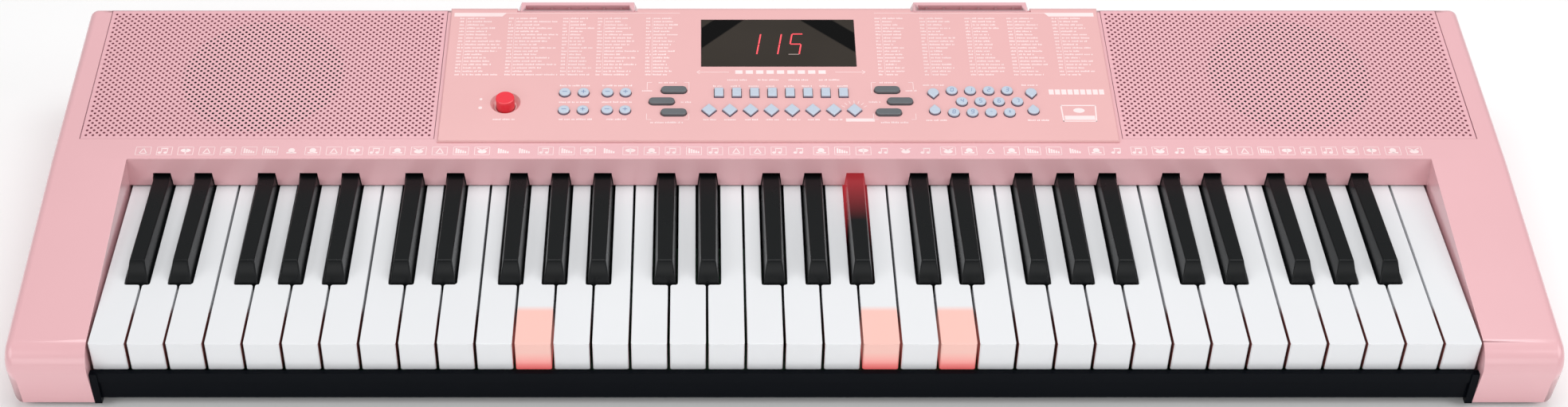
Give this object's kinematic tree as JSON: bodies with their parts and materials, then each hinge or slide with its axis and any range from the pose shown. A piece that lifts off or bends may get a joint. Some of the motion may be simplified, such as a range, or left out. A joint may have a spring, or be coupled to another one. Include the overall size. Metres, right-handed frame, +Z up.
{
  "type": "toy electronic keyboard",
  "caption": "Toy electronic keyboard with a sloping control deck between two speaker grilles, hinged white and black keys in a well, push buttons and a digit display.",
  "frame": {"origin": "middle of the bounding box at its bottom, where the feet stand", "axes": "+X to the player's right along the keys, +Y from the player to the back, +Z up"},
  "size_m": [0.948, 0.3142, 0.0849],
  "materials": {
    "pink_case": "glossy moulded ABS",
    "pink_panel": "glossy moulded ABS with pale print",
    "pink_grille": "satin perforated sheet",
    "black_case": "glossy black ABS",
    "key_white": "smooth glossy white",
    "key_black": "satin black",
    "display_acrylic": "gloss dark acrylic",
    "led_red": "diffusing red epoxy",
    "speaker_black": "paper cone and pressed basket",
    "circuit_green": "solder mask",
    "rod_steel": "drawn bright",
    "screw_steel": "zinc plated",
    "foot_rubber": "soft matte",
    "button_red": "glossy red",
    "button_lavender": "smooth silicone",
    "button_grey": "smooth silicone"
  },
  "bodies": {
    "root": {"upper_case": "pink_case", "lower_case": "black_case", "control_panel": "pink_panel", "left_speaker_grille": "pink_grille", "right_speaker_grille": "pink_grille", "display_window": "display_acrylic", "led_display": "led_red", "speakers": "speaker_black", "main_board": "circuit_green", "key_contact_board": "circuit_green", "key_hinge_rod": "rod_steel", "battery_door": "black_case", "rubber_feet": "foot_rubber", "case_screws": "screw_steel"},
    "power_button": {"power_button": "button_red"},
    "function_buttons": {"function_buttons": "button_lavender"},
    "selector_buttons": {"selector_buttons": "button_grey"},
    "tone_buttons": {"tone_buttons": "button_lavender"},
    "number_buttons": {"number_buttons": "button_lavender"},
    "black_key_comb_1": {"black_key_comb_1": "key_black"},
    "black_key_comb_2": {"black_key_comb_2": "key_black"},
    "black_key_comb_3": {"black_key_comb_3": "key_black"},
    "black_key_comb_4": {"black_key_comb_4": "key_black"},
    "black_key_comb_5": {"black_key_comb_5": "key_black"},
    "white_key_01": {"white_key_01": "key_white"},
    "white_key_02": {"white_key_02": "key_white"},
    "white_key_03": {"white_key_03": "key_white"},
    "white_key_04": {"white_key_04": "key_white"},
    "white_key_05": {"white_key_05": "key_white"},
    "white_key_06": {"white_key_06": "key_white"},
    "white_key_07": {"white_key_07": "key_white"},
    "white_key_08": {"white_key_08": "key_white"},
    "white_key_09": {"white_key_09": "key_white"},
    "white_key_10": {"white_key_10": "key_white"},
    "white_key_11": {"white_key_11": "key_white"},
    "white_key_12": {"white_key_12": "key_white"},
    "white_key_13": {"white_key_13": "key_white"},
    "white_key_14": {"white_key_14": "key_white"},
    "white_key_15": {"white_key_15": "key_white"},
    "white_key_16": {"white_key_16": "key_white"},
    "white_key_17": {"white_key_17": "key_white"},
    "white_key_18": {"white_key_18": "key_white"},
    "white_key_19": {"white_key_19": "key_white"},
    "white_key_20": {"white_key_20": "key_white"},
    "white_key_21": {"white_key_21": "key_white"},
    "white_key_22": {"white_key_22": "key_white"},
    "white_key_23": {"white_key_23": "key_white"},
    "white_key_24": {"white_key_24": "key_white"},
    "white_key_25": {"white_key_25": "key_white"},
    "white_key_26": {"white_key_26": "key_white"},
    "white_key_27": {"white_key_27": "key_white"},
    "white_key_28": {"white_key_28": "key_white"},
    "white_key_29": {"white_key_29": "key_white"},
    "white_key_30": {"white_key_30": "key_white"},
    "white_key_31": {"white_key_31": "key_white"},
    "white_key_32": {"white_key_32": "key_white"},
    "white_key_33": {"white_key_33": "key_white"},
    "white_key_34": {"white_key_34": "key_white"},
    "white_key_35": {"white_key_35": "key_white"},
    "white_key_36": {"white_key_36": "key_white"}
  },
  "joints": [
    {"name": "power_button_press", "type": "slide", "parent": "root", "child": "power_button", "axis": [0, 0.1028, -0.9947], "range_m": [0, 0.003], "stiffness_N_per_m": 500, "springref_m": -0.002},
    {"name": "function_buttons_press", "type": "slide", "parent": "root", "child": "function_buttons", "axis": [0, 0.1028, -0.9947], "range_m": [0, 0.0012], "stiffness_N_per_m": 800, "springref_m": -0.0012},
    {"name": "selector_buttons_press", "type": "slide", "parent": "root", "child": "selector_buttons", "axis": [0, 0.1028, -0.9947], "range_m": [0, 0.0012], "stiffness_N_per_m": 800, "springref_m": -0.0012},
    {"name": "tone_buttons_press", "type": "slide", "parent": "root", "child": "tone_buttons", "axis": [0, 0.1028, -0.9947], "range_m": [0, 0.0012], "stiffness_N_per_m": 800, "springref_m": -0.0012},
    {"name": "number_buttons_press", "type": "slide", "parent": "root", "child": "number_buttons", "axis": [0, 0.1028, -0.9947], "range_m": [0, 0.0012], "stiffness_N_per_m": 800, "springref_m": -0.0012},
    {"name": "black_key_comb_1_press", "type": "hinge", "parent": "root", "child": "black_key_comb_1", "pos_m": [0, 0.0509, 0.0365], "axis": [1, 0, 0], "range_deg": [0, 3], "stiffness_Nm_per_rad": 1.5, "springref_deg": -14.32},
    {"name": "black_key_comb_2_press", "type": "hinge", "parent": "root", "child": "black_key_comb_2", "pos_m": [0, 0.0509, 0.0365], "axis": [1, 0, 0], "range_deg": [0, 3], "stiffness_Nm_per_rad": 1.5, "springref_deg": -14.32},
    {"name": "black_key_comb_3_press", "type": "hinge", "parent": "root", "child": "black_key_comb_3", "pos_m": [0, 0.0509, 0.0365], "axis": [1, 0, 0], "range_deg": [0, 3], "stiffness_Nm_per_rad": 1.5, "springref_deg": -14.32},
    {"name": "black_key_comb_4_press", "type": "hinge", "parent": "root", "child": "black_key_comb_4", "pos_m": [0, 0.0509, 0.0365], "axis": [1, 0, 0], "range_deg": [0, 3], "stiffness_Nm_per_rad": 1.5, "springref_deg": -14.32},
    {"name": "black_key_comb_5_press", "type": "hinge", "parent": "root", "child": "black_key_comb_5", "pos_m": [0, 0.0509, 0.0365], "axis": [1, 0, 0], "range_deg": [0, 3], "stiffness_Nm_per_rad": 1.5, "springref_deg": -14.32},
    {"name": "white_key_01_press", "type": "hinge", "parent": "root", "child": "white_key_01", "pos_m": [0, 0.0509, 0.0365], "axis": [1, 0, 0], "range_deg": [0, 2.87], "stiffness_Nm_per_rad": 0.5, "springref_deg": -14.32},
    {"name": "white_key_02_press", "type": "hinge", "parent": "root", "child": "white_key_02", "pos_m": [0, 0.0509, 0.0365], "axis": [1, 0, 0], "range_deg": [0, 2.87], "stiffness_Nm_per_rad": 0.5, "springref_deg": -14.32},
    {"name": "white_key_03_press", "type": "hinge", "parent": "root", "child": "white_key_03", "pos_m": [0, 0.0509, 0.0365], "axis": [1, 0, 0], "range_deg": [0, 2.87], "stiffness_Nm_per_rad": 0.5, "springref_deg": -14.32},
    {"name": "white_key_04_press", "type": "hinge", "parent": "root", "child": "white_key_04", "pos_m": [0, 0.0509, 0.0365], "axis": [1, 0, 0], "range_deg": [0, 2.87], "stiffness_Nm_per_rad": 0.5, "springref_deg": -14.32},
    {"name": "white_key_05_press", "type": "hinge", "parent": "root", "child": "white_key_05", "pos_m": [0, 0.0509, 0.0365], "axis": [1, 0, 0], "range_deg": [0, 2.87], "stiffness_Nm_per_rad": 0.5, "springref_deg": -14.32},
    {"name": "white_key_06_press", "type": "hinge", "parent": "root", "child": "white_key_06", "pos_m": [0, 0.0509, 0.0365], "axis": [1, 0, 0], "range_deg": [0, 2.87], "stiffness_Nm_per_rad": 0.5, "springref_deg": -14.32},
    {"name": "white_key_07_press", "type": "hinge", "parent": "root", "child": "white_key_07", "pos_m": [0, 0.0509, 0.0365], "axis": [1, 0, 0], "range_deg": [0, 2.87], "stiffness_Nm_per_rad": 0.5, "springref_deg": -14.32},
    {"name": "white_key_08_press", "type": "hinge", "parent": "root", "child": "white_key_08", "pos_m": [0, 0.0509, 0.0365], "axis": [1, 0, 0], "range_deg": [0, 2.87], "stiffness_Nm_per_rad": 0.5, "springref_deg": -14.32},
    {"name": "white_key_09_press", "type": "hinge", "parent": "root", "child": "white_key_09", "pos_m": [0, 0.0509, 0.0365], "axis": [1, 0, 0], "range_deg": [0, 2.87], "stiffness_Nm_per_rad": 0.5, "springref_deg": -14.32},
    {"name": "white_key_10_press", "type": "hinge", "parent": "root", "child": "white_key_10", "pos_m": [0, 0.0509, 0.0365], "axis": [1, 0, 0], "range_deg": [0, 2.87], "stiffness_Nm_per_rad": 0.5, "springref_deg": -14.32},
    {"name": "white_key_11_press", "type": "hinge", "parent": "root", "child": "white_key_11", "pos_m": [0, 0.0509, 0.0365], "axis": [1, 0, 0], "range_deg": [0, 2.87], "stiffness_Nm_per_rad": 0.5, "springref_deg": -14.32},
    {"name": "white_key_12_press", "type": "hinge", "parent": "root", "child": "white_key_12", "pos_m": [0, 0.0509, 0.0365], "axis": [1, 0, 0], "range_deg": [0, 2.87], "stiffness_Nm_per_rad": 0.5, "springref_deg": -14.32},
    {"name": "white_key_13_press", "type": "hinge", "parent": "root", "child": "white_key_13", "pos_m": [0, 0.0509, 0.0365], "axis": [1, 0, 0], "range_deg": [0, 2.87], "stiffness_Nm_per_rad": 0.5, "springref_deg": -14.32},
    {"name": "white_key_14_press", "type": "hinge", "parent": "root", "child": "white_key_14", "pos_m": [0, 0.0509, 0.0365], "axis": [1, 0, 0], "range_deg": [0, 2.87], "stiffness_Nm_per_rad": 0.5, "springref_deg": -14.32},
    {"name": "white_key_15_press", "type": "hinge", "parent": "root", "child": "white_key_15", "pos_m": [0, 0.0509, 0.0365], "axis": [1, 0, 0], "range_deg": [0, 2.87], "stiffness_Nm_per_rad": 0.5, "springref_deg": -14.32},
    {"name": "white_key_16_press", "type": "hinge", "parent": "root", "child": "white_key_16", "pos_m": [0, 0.0509, 0.0365], "axis": [1, 0, 0], "range_deg": [0, 2.87], "stiffness_Nm_per_rad": 0.5, "springref_deg": -14.32},
    {"name": "white_key_17_press", "type": "hinge", "parent": "root", "child": "white_key_17", "pos_m": [0, 0.0509, 0.0365], "axis": [1, 0, 0], "range_deg": [0, 2.87], "stiffness_Nm_per_rad": 0.5, "springref_deg": -14.32},
    {"name": "white_key_18_press", "type": "hinge", "parent": "root", "child": "white_key_18", "pos_m": [0, 0.0509, 0.0365], "axis": [1, 0, 0], "range_deg": [0, 2.87], "stiffness_Nm_per_rad": 0.5, "springref_deg": -14.32},
    {"name": "white_key_19_press", "type": "hinge", "parent": "root", "child": "white_key_19", "pos_m": [0, 0.0509, 0.0365], "axis": [1, 0, 0], "range_deg": [0, 2.87], "stiffness_Nm_per_rad": 0.5, "springref_deg": -14.32},
    {"name": "white_key_20_press", "type": "hinge", "parent": "root", "child": "white_key_20", "pos_m": [0, 0.0509, 0.0365], "axis": [1, 0, 0], "range_deg": [0, 2.87], "stiffness_Nm_per_rad": 0.5, "springref_deg": -14.32},
    {"name": "white_key_21_press", "type": "hinge", "parent": "root", "child": "white_key_21", "pos_m": [0, 0.0509, 0.0365], "axis": [1, 0, 0], "range_deg": [0, 2.87], "stiffness_Nm_per_rad": 0.5, "springref_deg": -14.32},
    {"name": "white_key_22_press", "type": "hinge", "parent": "root", "child": "white_key_22", "pos_m": [0, 0.0509, 0.0365], "axis": [1, 0, 0], "range_deg": [0, 2.87], "stiffness_Nm_per_rad": 0.5, "springref_deg": -14.32},
    {"name": "white_key_23_press", "type": "hinge", "parent": "root", "child": "white_key_23", "pos_m": [0, 0.0509, 0.0365], "axis": [1, 0, 0], "range_deg": [0, 2.87], "stiffness_Nm_per_rad": 0.5, "springref_deg": -14.32},
    {"name": "white_key_24_press", "type": "hinge", "parent": "root", "child": "white_key_24", "pos_m": [0, 0.0509, 0.0365], "axis": [1, 0, 0], "range_deg": [0, 2.87], "stiffness_Nm_per_rad": 0.5, "springref_deg": -14.32},
    {"name": "white_key_25_press", "type": "hinge", "parent": "root", "child": "white_key_25", "pos_m": [0, 0.0509, 0.0365], "axis": [1, 0, 0], "range_deg": [0, 2.87], "stiffness_Nm_per_rad": 0.5, "springref_deg": -14.32},
    {"name": "white_key_26_press", "type": "hinge", "parent": "root", "child": "white_key_26", "pos_m": [0, 0.0509, 0.0365], "axis": [1, 0, 0], "range_deg": [0, 2.87], "stiffness_Nm_per_rad": 0.5, "springref_deg": -14.32},
    {"name": "white_key_27_press", "type": "hinge", "parent": "root", "child": "white_key_27", "pos_m": [0, 0.0509, 0.0365], "axis": [1, 0, 0], "range_deg": [0, 2.87], "stiffness_Nm_per_rad": 0.5, "springref_deg": -14.32},
    {"name": "white_key_28_press", "type": "hinge", "parent": "root", "child": "white_key_28", "pos_m": [0, 0.0509, 0.0365], "axis": [1, 0, 0], "range_deg": [0, 2.87], "stiffness_Nm_per_rad": 0.5, "springref_deg": -14.32},
    {"name": "white_key_29_press", "type": "hinge", "parent": "root", "child": "white_key_29", "pos_m": [0, 0.0509, 0.0365], "axis": [1, 0, 0], "range_deg": [0, 2.87], "stiffness_Nm_per_rad": 0.5, "springref_deg": -14.32},
    {"name": "white_key_30_press", "type": "hinge", "parent": "root", "child": "white_key_30", "pos_m": [0, 0.0509, 0.0365], "axis": [1, 0, 0], "range_deg": [0, 2.87], "stiffness_Nm_per_rad": 0.5, "springref_deg": -14.32},
    {"name": "white_key_31_press", "type": "hinge", "parent": "root", "child": "white_key_31", "pos_m": [0, 0.0509, 0.0365], "axis": [1, 0, 0], "range_deg": [0, 2.87], "stiffness_Nm_per_rad": 0.5, "springref_deg": -14.32},
    {"name": "white_key_32_press", "type": "hinge", "parent": "root", "child": "white_key_32", "pos_m": [0, 0.0509, 0.0365], "axis": [1, 0, 0], "range_deg": [0, 2.87], "stiffness_Nm_per_rad": 0.5, "springref_deg": -14.32},
    {"name": "white_key_33_press", "type": "hinge", "parent": "root", "child": "white_key_33", "pos_m": [0, 0.0509, 0.0365], "axis": [1, 0, 0], "range_deg": [0, 2.87], "stiffness_Nm_per_rad": 0.5, "springref_deg": -14.32},
    {"name": "white_key_34_press", "type": "hinge", "parent": "root", "child": "white_key_34", "pos_m": [0, 0.0509, 0.0365], "axis": [1, 0, 0], "range_deg": [0, 2.87], "stiffness_Nm_per_rad": 0.5, "springref_deg": -14.32},
    {"name": "white_key_35_press", "type": "hinge", "parent": "root", "child": "white_key_35", "pos_m": [0, 0.0509, 0.0365], "axis": [1, 0, 0], "range_deg": [0, 2.87], "stiffness_Nm_per_rad": 0.5, "springref_deg": -14.32},
    {"name": "white_key_36_press", "type": "hinge", "parent": "root", "child": "white_key_36", "pos_m": [0, 0.0509, 0.0365], "axis": [1, 0, 0], "range_deg": [0, 2.87], "stiffness_Nm_per_rad": 0.5, "springref_deg": -14.32}
  ]
}
